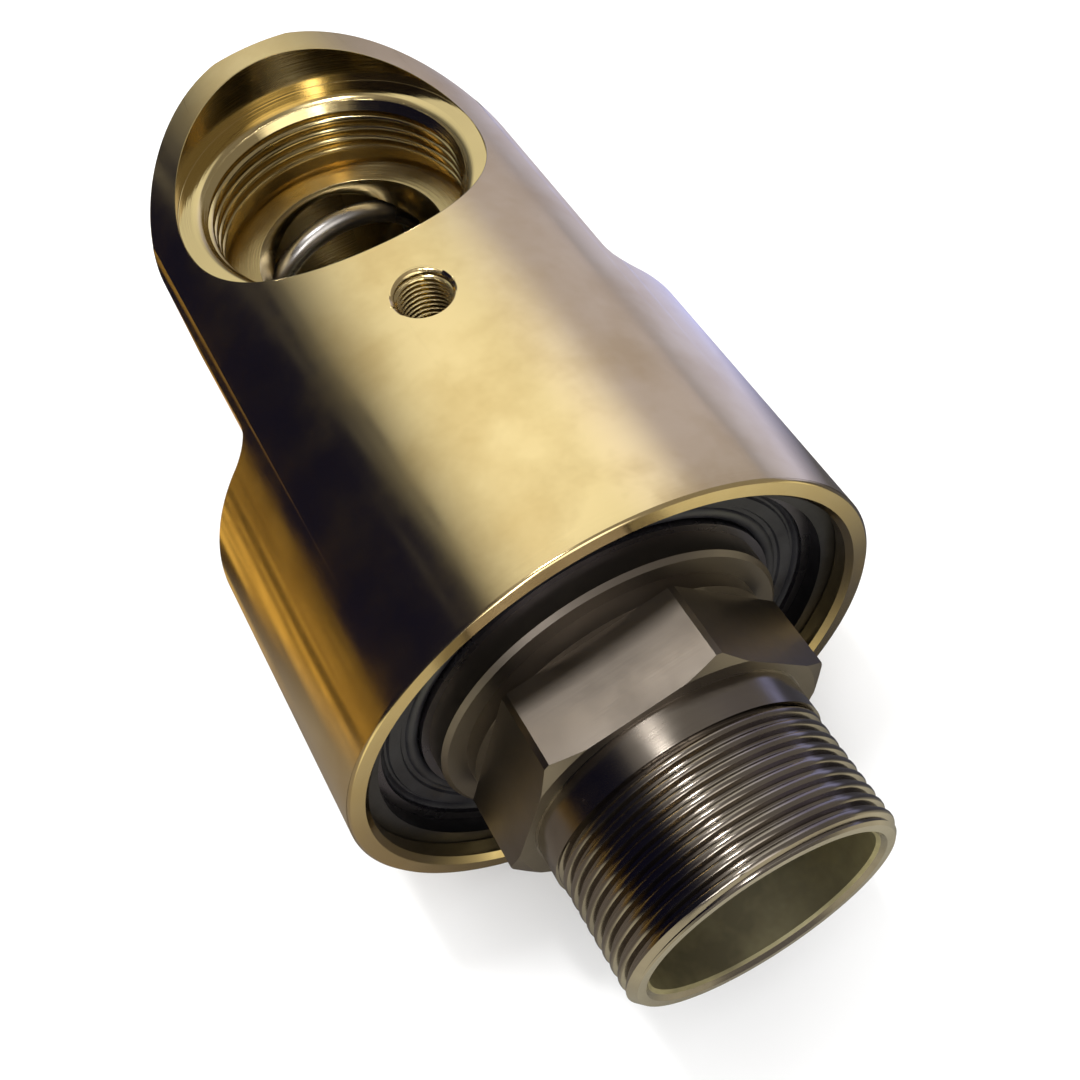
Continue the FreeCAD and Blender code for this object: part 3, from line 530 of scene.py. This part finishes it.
moulding = [(33.3, 51.25), (33.8, 50.8), (34.5, 50.6), (35.2, 50.8), (35.5, 51.3), (36.2, 51.3), (36.5, 50.9),
            (38.5, 50.9), (38.8, 51.3), (39.2, 51.3), (39.5, 50.8), (39.9, 50.6), (40.28, 50.8), (40.28, 51.9),
            (33.3, 51.9)]
front_seal = turn("front_seal_moulding", moulding, steps=ROUND)
soften(front_seal, 50.0)
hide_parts("front_bearing_front_seal")
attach(front_seal, "housing")
print("spring:", len(spring.data.polygons), "faces; seal:", len(front_seal.data.polygons), "faces")

# %% [markdown]
# ## Effects for the metals
#
# The finishes share a few effects, and each is a node group with named inputs. The lathe leaves fine rings, the
# polishing wheel leaves a soft wave and fingerprints leave haze. All of them read the object's own coordinates in
# metres, so they stay in place when the part turns, and none needs an unwrapped surface.

# %% Node group helpers
def place(tree, kind, **settings):
    """Adds a node and sets its options and its inputs, given by name or number."""
    node = tree.nodes.new(kind)
    inputs = settings.pop("inputs", {})
    for setting, value in settings.items():
        setattr(node, setting, value)
    for socket, value in inputs.items():
        if isinstance(value, bpy.types.NodeSocket):
            tree.links.new(value, node.inputs[socket])
        else:
            node.inputs[socket].default_value = value
    return node


def maths(tree, operation, first, second=0.0, third=0.0, clamp=False):
    """One Math node's result."""
    return place(tree, "ShaderNodeMath", operation=operation, use_clamp=clamp,
                 inputs={0: first, 1: second, 2: third}).outputs[0]


def remap(tree, value, low, high, to_low=0.0, to_high=1.0):
    """The value moved from one range to another and held at its ends."""
    return place(tree, "ShaderNodeMapRange", clamp=True, inputs={0: value, 1: low, 2: high, 3: to_low, 4: to_high}).outputs[0]


def noise(tree, vector, scale, detail=3.0, roughness=0.5):
    """A noise texture's value."""
    return place(tree, "ShaderNodeTexNoise", inputs={"Vector": vector, "Scale": scale, "Detail": detail,
                                                     "Roughness": roughness}).outputs[0]


def new_group(name, inputs, outputs):
    """An empty node group with named inputs, as (name, kind, value), and named outputs."""
    tree = bpy.data.node_groups.new(name, "ShaderNodeTree")
    for label, kind, value in inputs:
        socket = tree.interface.new_socket(name=label, in_out="INPUT", socket_type="NodeSocket" + kind)
        socket.default_value = value
    for label, kind in outputs:
        tree.interface.new_socket(name=label, in_out="OUTPUT", socket_type="NodeSocket" + kind)
    entry = tree.nodes.new("NodeGroupInput")
    leave = tree.nodes.new("NodeGroupOutput")
    return tree, entry, leave


def finish_group(tree, leave, **results):
    """Connects the group's outputs."""
    for label, socket in results.items():
        tree.links.new(socket, leave.inputs[label])
    print("node group:", tree.name, len(tree.nodes), "nodes")
    return tree


# %% [markdown]
# The rings of a lathe run round the axis of turning. On a cylinder they follow one another along the axis, and
# on a face they follow one another outwards. The group picks between the two from the surface's direction, so
# one effect serves the barrel, the shoulder, the bores and, with the port's axis, the side port.

# %% Lathe rings
def make_lathe_rings():
    tree, entry, leave = new_group("lathe_rings", [
        ("Centre", "Vector", (0, 0, 0)),
        ("Axis", "Vector", (0, 1, 0)),
        ("Rings Per Metre", "Float", 2500.0),
        ("Waver", "Float", 0.6),
    ], [("Ring", "Float"), ("Band", "Float"), ("Distance", "Float")])
    coordinates = place(tree, "ShaderNodeTexCoord")
    local = place(tree, "ShaderNodeVectorMath", operation="SUBTRACT",
                  inputs={0: coordinates.outputs["Object"], 1: entry.outputs["Centre"]}).outputs[0]
    station = place(tree, "ShaderNodeVectorMath", operation="DOT_PRODUCT",
                    inputs={0: local, 1: entry.outputs["Axis"]}).outputs["Value"]
    along = place(tree, "ShaderNodeVectorMath", operation="SCALE",
                  inputs={0: entry.outputs["Axis"], "Scale": station}).outputs[0]
    outward = place(tree, "ShaderNodeVectorMath", operation="SUBTRACT", inputs={0: local, 1: along}).outputs[0]
    radius = place(tree, "ShaderNodeVectorMath", operation="LENGTH", inputs={0: outward}).outputs["Value"]
    direction = place(tree, "ShaderNodeVectorMath", operation="NORMALIZE", inputs={0: outward}).outputs[0]
    facing = place(tree, "ShaderNodeVectorMath", operation="DOT_PRODUCT",
                   inputs={0: coordinates.outputs["Normal"], 1: entry.outputs["Axis"]}).outputs["Value"]
    facing = remap(tree, maths(tree, "ABSOLUTE", facing), 0.75, 0.85)
    phase = place(tree, "ShaderNodeMix", inputs={0: facing, 2: station, 3: radius}).outputs[0]
    phase = maths(tree, "MULTIPLY", phase, entry.outputs["Rings Per Metre"])
    drift = place(tree, "ShaderNodeVectorMath", operation="SCALE",
                  inputs={0: direction, "Scale": entry.outputs["Waver"]}).outputs[0]
    climb = place(tree, "ShaderNodeVectorMath", operation="SCALE",
                  inputs={0: entry.outputs["Axis"], "Scale": phase}).outputs[0]
    ring_place = place(tree, "ShaderNodeVectorMath", operation="ADD", inputs={0: drift, 1: climb}).outputs[0]
    ring = noise(tree, ring_place, 1.0, detail=2.0, roughness=0.7)
    band = noise(tree, ring_place, 0.06, detail=2.0, roughness=0.5)
    return finish_group(tree, leave, Ring=ring, Band=band, Distance=radius)


lathe_rings = make_lathe_rings()

# %% [markdown]
# Handling leaves its own marks: haze where fingers and rags have been, a few tiny pits, and hairline scratches.
# The part was rolled and slid in its box, so most scratches cross the axis at a slant. Each set of them is cut by
# thin leaning sheets of noise, which meet every turned wall in a line. Haze changes the roughness, scratches and
# pits are cut a little into the surface.

# %% Handling marks
def make_handling_marks():
    tree, entry, leave = new_group("handling_marks", [
        ("Size", "Float", 60.0),
        ("Scratch Level", "Float", 0.72),
    ], [("Haze", "Float"), ("Scratch", "Float"), ("Pit", "Float")])
    spot = place(tree, "ShaderNodeTexCoord").outputs["Object"]
    broad = noise(tree, spot, entry.outputs["Size"], detail=4.0, roughness=0.6)
    haze = remap(tree, broad, 0.42, 0.68)
    lines = []
    for lean in ((0.50, 1.0, 0.20), (-0.30, 1.0, 0.45), (0.10, 1.0, -0.55)):
        lean = Vector(lean).normalized()
        depth = place(tree, "ShaderNodeVectorMath", operation="DOT_PRODUCT", inputs={0: spot, 1: lean}).outputs["Value"]
        across = place(tree, "ShaderNodeVectorMath", operation="SCALE",
                       inputs={0: lean, "Scale": maths(tree, "MULTIPLY", depth, 1800.0)}).outputs[0]
        sheets = place(tree, "ShaderNodeVectorMath", operation="MULTIPLY_ADD",
                       inputs={0: spot, 1: (45.0, 45.0, 45.0), 2: across}).outputs[0]
        lines.append(remap(tree, noise(tree, sheets, 1.0, detail=0.0), entry.outputs["Scratch Level"], 0.80))
    scratch = maths(tree, "MAXIMUM", maths(tree, "MAXIMUM", lines[0], lines[1]), lines[2])
    cells = place(tree, "ShaderNodeTexVoronoi", inputs={"Vector": spot, "Scale": 260.0}).outputs["Distance"]
    pit = remap(tree, cells, 0.03, 0.09, 1.0, 0.0)
    return finish_group(tree, leave, Haze=haze, Scratch=scratch, Pit=pit)


handling_marks = make_handling_marks()

# %% [markdown]
# ## Finishes
#
# The side port and the leak hole are bored about their own axis, so the brass blends a second and a third set of
# rings in, wherever a point lies inside the hole's radius. There the brass is also darker, which is painted shade
# for the inside of the holes besides their duller cut finish. The rotor's bore is left as drilled, and its hexagon
# and collar as milled, so those are rougher and duller than the turned nipple. One function makes the metals. Each
# takes its colour, its polish and how strongly rings, haze and scratches show. The base colour is the metal's own
# apart from the painted shade in the holes and on the bearing steel, and nearly everything that is seen on it is
# reflection, so the small changes of slope and polish matter more than colour.

# %% Metals
HOLE_RINGS = 5.0
# Darker brass for the inside of the holes: painted shade for the bores, besides their duller cut finish.
SHADED_CUT_BRASS = (0.60, 0.48, 0.24, 1)
OILY_STEEL = (0.46, 0.42, 0.27, 1)
OILY_STEEL_DARK = (0.20, 0.18, 0.12, 1)
DRILLED_ROUGHNESS = 0.32
MILLED_ROUGHNESS = 0.20
BORED_HOLES = ((mm(PORT), mm(SPOT_RADIUS + 0.2)), (mm(LEAK), mm(LEAK_RADIUS + 0.1)))


def principled(material, **values):
    """The material's shader with its constant inputs set."""
    shader = material.node_tree.nodes["Principled BSDF"]
    for label, value in values.items():
        shader.inputs[label.replace("_", " ")].default_value = value
    return shader


def new_material(name):
    """A material with its default shader; an old one of that name gives up the name."""
    material = bpy.data.materials.new(name)
    material.use_nodes = True
    return material


def make_metal(name, colour, dull_colour, polish, rings=0.25, rings_per_metre=2500.0, waver=0.6, haze=0.12,
               scratches=0.05, wave=0.0, pits=0.0, holes=(), bore=0.0, milled_from=1.0):
    """A turned and handled metal. Rings, scratches, wave and pits are bump strengths, haze is added roughness.

    Holes are (station, radius) pairs in metres, and the rings inside them run round the hole's own axis. Inside
    the bore's radius the metal is left as drilled, rough and oily, and outside milled_from it is left as milled."""
    material = new_material(name)
    tree = material.node_tree
    shader = principled(material, Metallic=1.0)
    turned_marks = place(tree, "ShaderNodeGroup", node_tree=lathe_rings, inputs={
        "Rings Per Metre": rings_per_metre, "Waver": waver})
    ring = maths(tree, "MULTIPLY", turned_marks.outputs["Ring"], rings)
    drilled = maths(tree, "LESS_THAN", turned_marks.outputs["Distance"], bore)
    milled = maths(tree, "GREATER_THAN", turned_marks.outputs["Distance"], milled_from)
    inside = 0.0
    for station, reach in holes:
        bored_marks = place(tree, "ShaderNodeGroup", node_tree=lathe_rings, inputs={
            "Centre": (0, station, 0), "Axis": (0, 0, 1), "Rings Per Metre": rings_per_metre, "Waver": waver})
        in_hole = maths(tree, "LESS_THAN", bored_marks.outputs["Distance"], reach)
        bored_ring = maths(tree, "MULTIPLY", bored_marks.outputs["Ring"], HOLE_RINGS)
        ring = place(tree, "ShaderNodeMix", inputs={0: in_hole, 2: ring, 3: bored_ring}).outputs[0]
        inside = maths(tree, "MAXIMUM", in_hole, inside)
    marks = place(tree, "ShaderNodeGroup", node_tree=handling_marks)
    dull = maths(tree, "MULTIPLY", marks.outputs["Haze"], 0.6)
    dull = maths(tree, "MULTIPLY_ADD", turned_marks.outputs["Band"], 0.4, dull, clamp=True)
    dull = maths(tree, "MAXIMUM", dull, milled)
    tint = place(tree, "ShaderNodeMix", data_type="RGBA", inputs={0: dull, 6: colour, 7: dull_colour})
    # Inside the holes the tint gives way to the darker brass, which is painted shade for the bores.
    tint = place(tree, "ShaderNodeMix", data_type="RGBA", inputs={0: inside, 6: tint.outputs[2], 7: SHADED_CUT_BRASS})
    oil = place(tree, "ShaderNodeMix", data_type="RGBA", inputs={
        0: remap(tree, marks.outputs["Haze"], 0.0, 1.2), 6: OILY_STEEL, 7: OILY_STEEL_DARK})
    tint = place(tree, "ShaderNodeMix", data_type="RGBA", inputs={0: drilled, 6: tint.outputs[2], 7: oil.outputs[2]})
    tree.links.new(tint.outputs[2], shader.inputs["Base Color"])
    rough = maths(tree, "MULTIPLY_ADD", marks.outputs["Haze"], haze, polish)
    rough = maths(tree, "MULTIPLY_ADD", drilled, DRILLED_ROUGHNESS, rough)
    rough = maths(tree, "MULTIPLY_ADD", milled, MILLED_ROUGHNESS, rough)
    rough = maths(tree, "MULTIPLY_ADD", turned_marks.outputs["Ring"], 0.3 * haze, rough, clamp=True)
    tree.links.new(rough, shader.inputs["Roughness"])
    height = maths(tree, "MULTIPLY_ADD", marks.outputs["Scratch"], -scratches, ring)
    height = maths(tree, "MULTIPLY_ADD", marks.outputs["Pit"], -pits, height)
    fine = place(tree, "ShaderNodeBump", inputs={"Strength": 0.35, "Distance": 0.00002, "Height": height})
    normal = fine.outputs[0]
    if wave:
        soft_wave = noise(tree, place(tree, "ShaderNodeTexCoord").outputs["Object"], 38.0, detail=1.5, roughness=0.4)
        broad = place(tree, "ShaderNodeBump", inputs={
            "Strength": 1.0, "Distance": wave, "Height": soft_wave, "Normal": normal})
        normal = broad.outputs[0]
    tree.links.new(normal, shader.inputs["Normal"])
    print("metal:", name, len(tree.nodes), "nodes")
    return material


BRASS = (0.80, 0.64, 0.34, 1)
BRASS_DULL = (0.66, 0.49, 0.22, 1)
finishes = {
    "polished_brass": make_metal("polished_brass", BRASS, BRASS_DULL, 0.12, rings=0.35, haze=0.10, wave=0.00012,
                                 scratches=0.05, pits=0.1, holes=BORED_HOLES),
    "rotor_steel": make_metal("rotor_steel", (0.30, 0.265, 0.225, 1), (0.18, 0.155, 0.13, 1), 0.15, rings=0.9,
                              rings_per_metre=3200.0, haze=0.12, scratches=0.08, pits=0.1, bore=0.0205,
                              milled_from=0.0246),
    # The bearing steel is dark and a little violet: painted shade for the recess the bearings sit in, with a painted
    # violet sheen.
    "bearing_steel": make_metal("bearing_steel", (0.18, 0.17, 0.20, 1), (0.10, 0.095, 0.11, 1), 0.24, rings=0.4),
    "cage_steel": make_metal("cage_steel", (0.50, 0.48, 0.44, 1), (0.38, 0.36, 0.33, 1), 0.32, rings=0.1, haze=0.15),
    "clip_steel": make_metal("clip_steel", (0.08, 0.08, 0.09, 1), (0.045, 0.045, 0.05, 1), 0.28, rings=0.2,
                             scratches=0.3, haze=0.2),
    "bright_steel": make_metal("bright_steel", (0.52, 0.51, 0.50, 1), (0.40, 0.39, 0.38, 1), 0.20, rings=0.6),
    "spring_steel": make_metal("spring_steel", (0.50, 0.48, 0.46, 1), (0.33, 0.31, 0.29, 1), 0.20, rings=0.1,
                               haze=0.18, scratches=0.2),
    "hard_seal": make_metal("hard_seal", (0.30, 0.30, 0.32, 1), (0.22, 0.22, 0.24, 1), 0.10, rings=0.05, haze=0.05),
}

# %% [markdown]
# Rubber and carbon are not metals. Rubber is nearly black, a little blue, with a satin skin from its mould and a
# bloom of oily dust. Carbon is a pressed and lapped solid, grey-black, with a fine grain.

# %% Rubber and carbon
def make_dark_solid(name, colour, dust_colour, roughness, dust, grain_scale, grain_depth, specular):
    """A black non-metal with dust in patches and a fine grain."""
    material = new_material(name)
    tree = material.node_tree
    shader = principled(material, Metallic=0.0, Specular_IOR_Level=specular)
    marks = place(tree, "ShaderNodeGroup", node_tree=handling_marks, inputs={"Size": 90.0})
    cover = maths(tree, "MULTIPLY", marks.outputs["Haze"], dust)
    tint = place(tree, "ShaderNodeMix", data_type="RGBA", inputs={0: cover, 6: colour, 7: dust_colour})
    tree.links.new(tint.outputs[2], shader.inputs["Base Color"])
    rough = maths(tree, "MULTIPLY_ADD", marks.outputs["Haze"], 0.2, roughness, clamp=True)
    tree.links.new(rough, shader.inputs["Roughness"])
    grain = noise(tree, place(tree, "ShaderNodeTexCoord").outputs["Object"], grain_scale, detail=4.0, roughness=0.6)
    bump = place(tree, "ShaderNodeBump", inputs={"Strength": 0.5, "Distance": grain_depth, "Height": grain})
    tree.links.new(bump.outputs[0], shader.inputs["Normal"])
    print("solid:", name, len(tree.nodes), "nodes")
    return material


finishes["seal_rubber"] = make_dark_solid("seal_rubber", (0.010, 0.010, 0.014, 1), (0.035, 0.035, 0.04, 1), 0.36, 0.5,
                                          900.0, 0.00006, 0.5)
finishes["seal_carbon"] = make_dark_solid("seal_carbon", (0.03, 0.03, 0.032, 1), (0.07, 0.07, 0.075, 1), 0.26, 0.3,
                                          2500.0, 0.00002, 0.5)

# %% [markdown]
# The pieces made here take their finish directly. The plain solids carry the name of their material already, so
# each one is given the finish of that name.

# %% Put the finishes on
def dress(piece, material):
    """Gives the piece one material."""
    piece.data.materials.clear()
    piece.data.materials.append(material)


for piece in (housing, port_thread, leak_thread):
    dress(piece, finishes["polished_brass"])
dress(rotor, finishes["rotor_steel"])
dress(spring, finishes["spring_steel"])
dress(front_seal, finishes["seal_rubber"])
hidden = {"housing", "rotor", "coil_spring", "front_bearing_front_seal"}
for name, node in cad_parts.items():
    if name not in hidden:
        for slot in node.material_slots:
            slot.material = finishes[slot.material.name.split(".")[0]]
print("dressed nodes:", len(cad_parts) - len(hidden))

# %% [markdown]
# ## Studio
#
# The union lies on a plain pale floor under a soft studio light. A polished metal shows its surroundings, so
# the room matters: pale overhead, a dark far corner on the left and a paler wall on the right. The camera
# sees the room and the floor as white; in the metal, the floor shows painted reflections of brass and of a pale
# wall, and a painted shadow beside the rotor.

# %% Floor, room and lights
FLOOR = -0.049

bpy.ops.mesh.primitive_plane_add(size=6.0, location=(0, 0, FLOOR))
floor = bpy.context.object
floor.name = floor.data.name = "studio_floor"
floor_material = new_material("studio_floor")
tree = floor_material.node_tree
floor_shader = principled(floor_material, Roughness=0.6, Specular_IOR_Level=0.2)
path = place(tree, "ShaderNodeLightPath")
on_floor = place(tree, "ShaderNodeTexCoord").outputs["Object"]
across, forward, _ = place(tree, "ShaderNodeSeparateXYZ", inputs={0: on_floor}).outputs
# Reflected rays see the floor in painted colours: brown with gold stripes on the left as a painted reflection of
# neighbouring brass, a painted lilac wall reflection on the right, a painted shadow beside the rotor and a pale front.
# The camera and diffuse light see the floor evenly pale.
long_lines = place(tree, "ShaderNodeMapping", inputs={"Vector": on_floor, "Scale": (1.0, 0.12, 1.0)}).outputs[0]
stripes = remap(tree, noise(tree, long_lines, 34.0, detail=2.0), 0.50, 0.57)
painted_brass_stripes = place(tree, "ShaderNodeMix", data_type="RGBA", inputs={
    0: stripes, 6: (0.03, 0.015, 0.002, 1), 7: (0.55, 0.34, 0.07, 1)}).outputs[2]
beside = place(tree, "ShaderNodeMix", data_type="RGBA", inputs={
    0: remap(tree, across, -0.06, 0.04), 6: painted_brass_stripes, 7: (0.43, 0.46, 0.80, 1)}).outputs[2]
painted_shade_near_rotor = place(tree, "ShaderNodeMix", data_type="RGBA", inputs={
    0: remap(tree, across, -0.06, 0.04), 6: (0.19, 0.165, 0.14, 1), 7: (0.06, 0.06, 0.075, 1)}).outputs[2]
beside = place(tree, "ShaderNodeMix", data_type="RGBA", inputs={
    0: remap(tree, forward, 0.15, 0.10), 6: beside, 7: painted_shade_near_rotor}).outputs[2]
painted_floor_reflection = place(tree, "ShaderNodeMix", data_type="RGBA", inputs={
    0: remap(tree, forward, 0.02, -0.03), 6: beside, 7: (0.70, 0.66, 0.48, 1)}).outputs[2]
floor_tint = place(tree, "ShaderNodeMix", data_type="RGBA", inputs={
    0: path.outputs["Is Glossy Ray"], 6: (0.93, 0.93, 0.93, 1), 7: painted_floor_reflection})
tree.links.new(floor_tint.outputs[2], floor_shader.inputs["Base Color"])
dress(floor, floor_material)

world = bpy.data.worlds.new("studio_room")
bpy.context.scene.world = world
world.use_nodes = True
tree = world.node_tree
background = tree.nodes["Background"]
view_direction = place(tree, "ShaderNodeTexCoord").outputs["Generated"]
side, far, _ = place(tree, "ShaderNodeSeparateXYZ", inputs={0: view_direction}).outputs
fine_lines = place(tree, "ShaderNodeMapping", inputs={"Vector": view_direction, "Scale": (9.0, 1.2, 3.0)}).outputs[0]
streaks = maths(tree, "SUBTRACT", noise(tree, fine_lines, 1.0, detail=4.0, roughness=0.65), 0.5)
ragged_side = maths(tree, "MULTIPLY_ADD", streaks, 0.75, side)


def glow(colour, towards, low, high, under):
    """Adds a soft patch of light round a direction to the colour under it."""
    closeness = place(tree, "ShaderNodeVectorMath", operation="DOT_PRODUCT",
                      inputs={0: view_direction, 1: Vector(towards).normalized()}).outputs["Value"]
    patch = place(tree, "ShaderNodeMapRange", interpolation_type="SMOOTHSTEP",
                  inputs={0: closeness, 1: low, 2: high, 3: 0.0, 4: 1.0}).outputs[0]
    return place(tree, "ShaderNodeMix", data_type="RGBA", blend_type="ADD", inputs={0: patch, 6: under, 7: colour}).outputs[2]


room = glow((0.40, 0.40, 0.68, 1), (0.90, 0.35, 0.25), 0.70, 0.95, (0.16, 0.16, 0.165, 1))
room = glow((1.08, 1.08, 0.98, 1), (0.20, 0.40, 0.90), 0.68, 1.00, room)
past_rotor = place(tree, "ShaderNodeMapRange", interpolation_type="SMOOTHSTEP",
                   inputs={0: far, 1: 0.43, 2: 0.51, 3: 0.0, 4: 1.0}).outputs[0]
room = place(tree, "ShaderNodeMix", data_type="RGBA", inputs={0: past_rotor, 6: (0.29, 0.27, 0.25, 1), 7: room}).outputs[2]
room = glow((2.00, 1.97, 1.90, 1), (0.12, -0.56, 0.81), 0.93, 0.995, room)
dark_side = place(tree, "ShaderNodeMapRange", interpolation_type="SMOOTHSTEP",
                  inputs={0: ragged_side, 1: -0.42, 2: -0.53, 3: 0.0, 4: 1.0}).outputs[0]
room = place(tree, "ShaderNodeMix", data_type="RGBA", inputs={0: dark_side, 6: room, 7: (0.008, 0.008, 0.028, 1)}).outputs[2]
seen = place(tree, "ShaderNodeLightPath")
even = place(tree, "ShaderNodeMix", data_type="RGBA", inputs={
    0: seen.outputs["Is Diffuse Ray"], 6: room, 7: (0.75, 0.75, 0.75, 1)}).outputs[2]
backdrop = place(tree, "ShaderNodeMix", data_type="RGBA", inputs={0: seen.outputs["Is Camera Ray"], 6: even, 7: (1, 1, 1, 1)})
tree.links.new(backdrop.outputs[2], background.inputs["Color"])


def softbox(name, place_at, aim_at, width, height, power, colour=(1, 1, 1)):
    """A rectangular area light that looks at a point, in metres and watts."""
    light = bpy.data.lights.new(name, "AREA")
    light.shape = "RECTANGLE"
    light.size = width
    light.size_y = height
    light.energy = power
    light.color = colour
    lamp = bpy.data.objects.new(name, light)
    bpy.context.collection.objects.link(lamp)
    lamp.location = place_at
    lamp.rotation_mode = "QUATERNION"
    lamp.rotation_quaternion = (Vector(aim_at) - Vector(place_at)).to_track_quat("-Z", "Y")
    return lamp


key = softbox("key_softbox", (0.12, 0.55, 0.95), (0, 0.08, 0), 1.0, 1.0, 3.5, (1.0, 0.98, 0.94))
top = softbox("top_softbox", (-0.2, -0.3, 1.1), (0, 0.08, 0), 1.2, 1.2, 5.5)
key.visible_glossy = top.visible_glossy = False
softbox("rotor_strip", (-0.105, 0.235, 0.95), (0, 0.012, 0), 0.06, 0.13, 2.4)
softbox("port_strip", (-0.30, -0.66, 0.67), (0, 0.139, 0.03), 0.15, 0.90, 3.0)

# %% [markdown]
# ## Camera
#
# The camera looks down at the union from its open end, as a person would who holds a camera over a table. It
# stands quite close, so the near end of the rotor looks large against the head.

# %% Camera
camera_data = bpy.data.cameras.new("camera")
camera = bpy.data.objects.new("camera", camera_data)
bpy.context.collection.objects.link(camera)
bpy.context.scene.camera = camera
camera_right = Vector((0.87093, -0.47618, -0.12137))
camera_down = Vector((-0.46096, -0.70609, -0.53755))
camera_ahead = Vector((0.17026, 0.52412, -0.83445))
camera.location = mm(-37.52, -48.25, 200.3)
camera.rotation_mode = "QUATERNION"
camera.rotation_quaternion = Matrix((camera_right, -camera_down, -camera_ahead)).transposed().to_quaternion()
camera_data.sensor_width = 36.0
camera_data.lens = 44.59
camera_data.clip_start = 0.01
camera_data.clip_end = 20.0
print("camera at", [round(v * 1000, 1) for v in camera.location])

bpy.context.scene.view_settings.view_transform = "Standard"
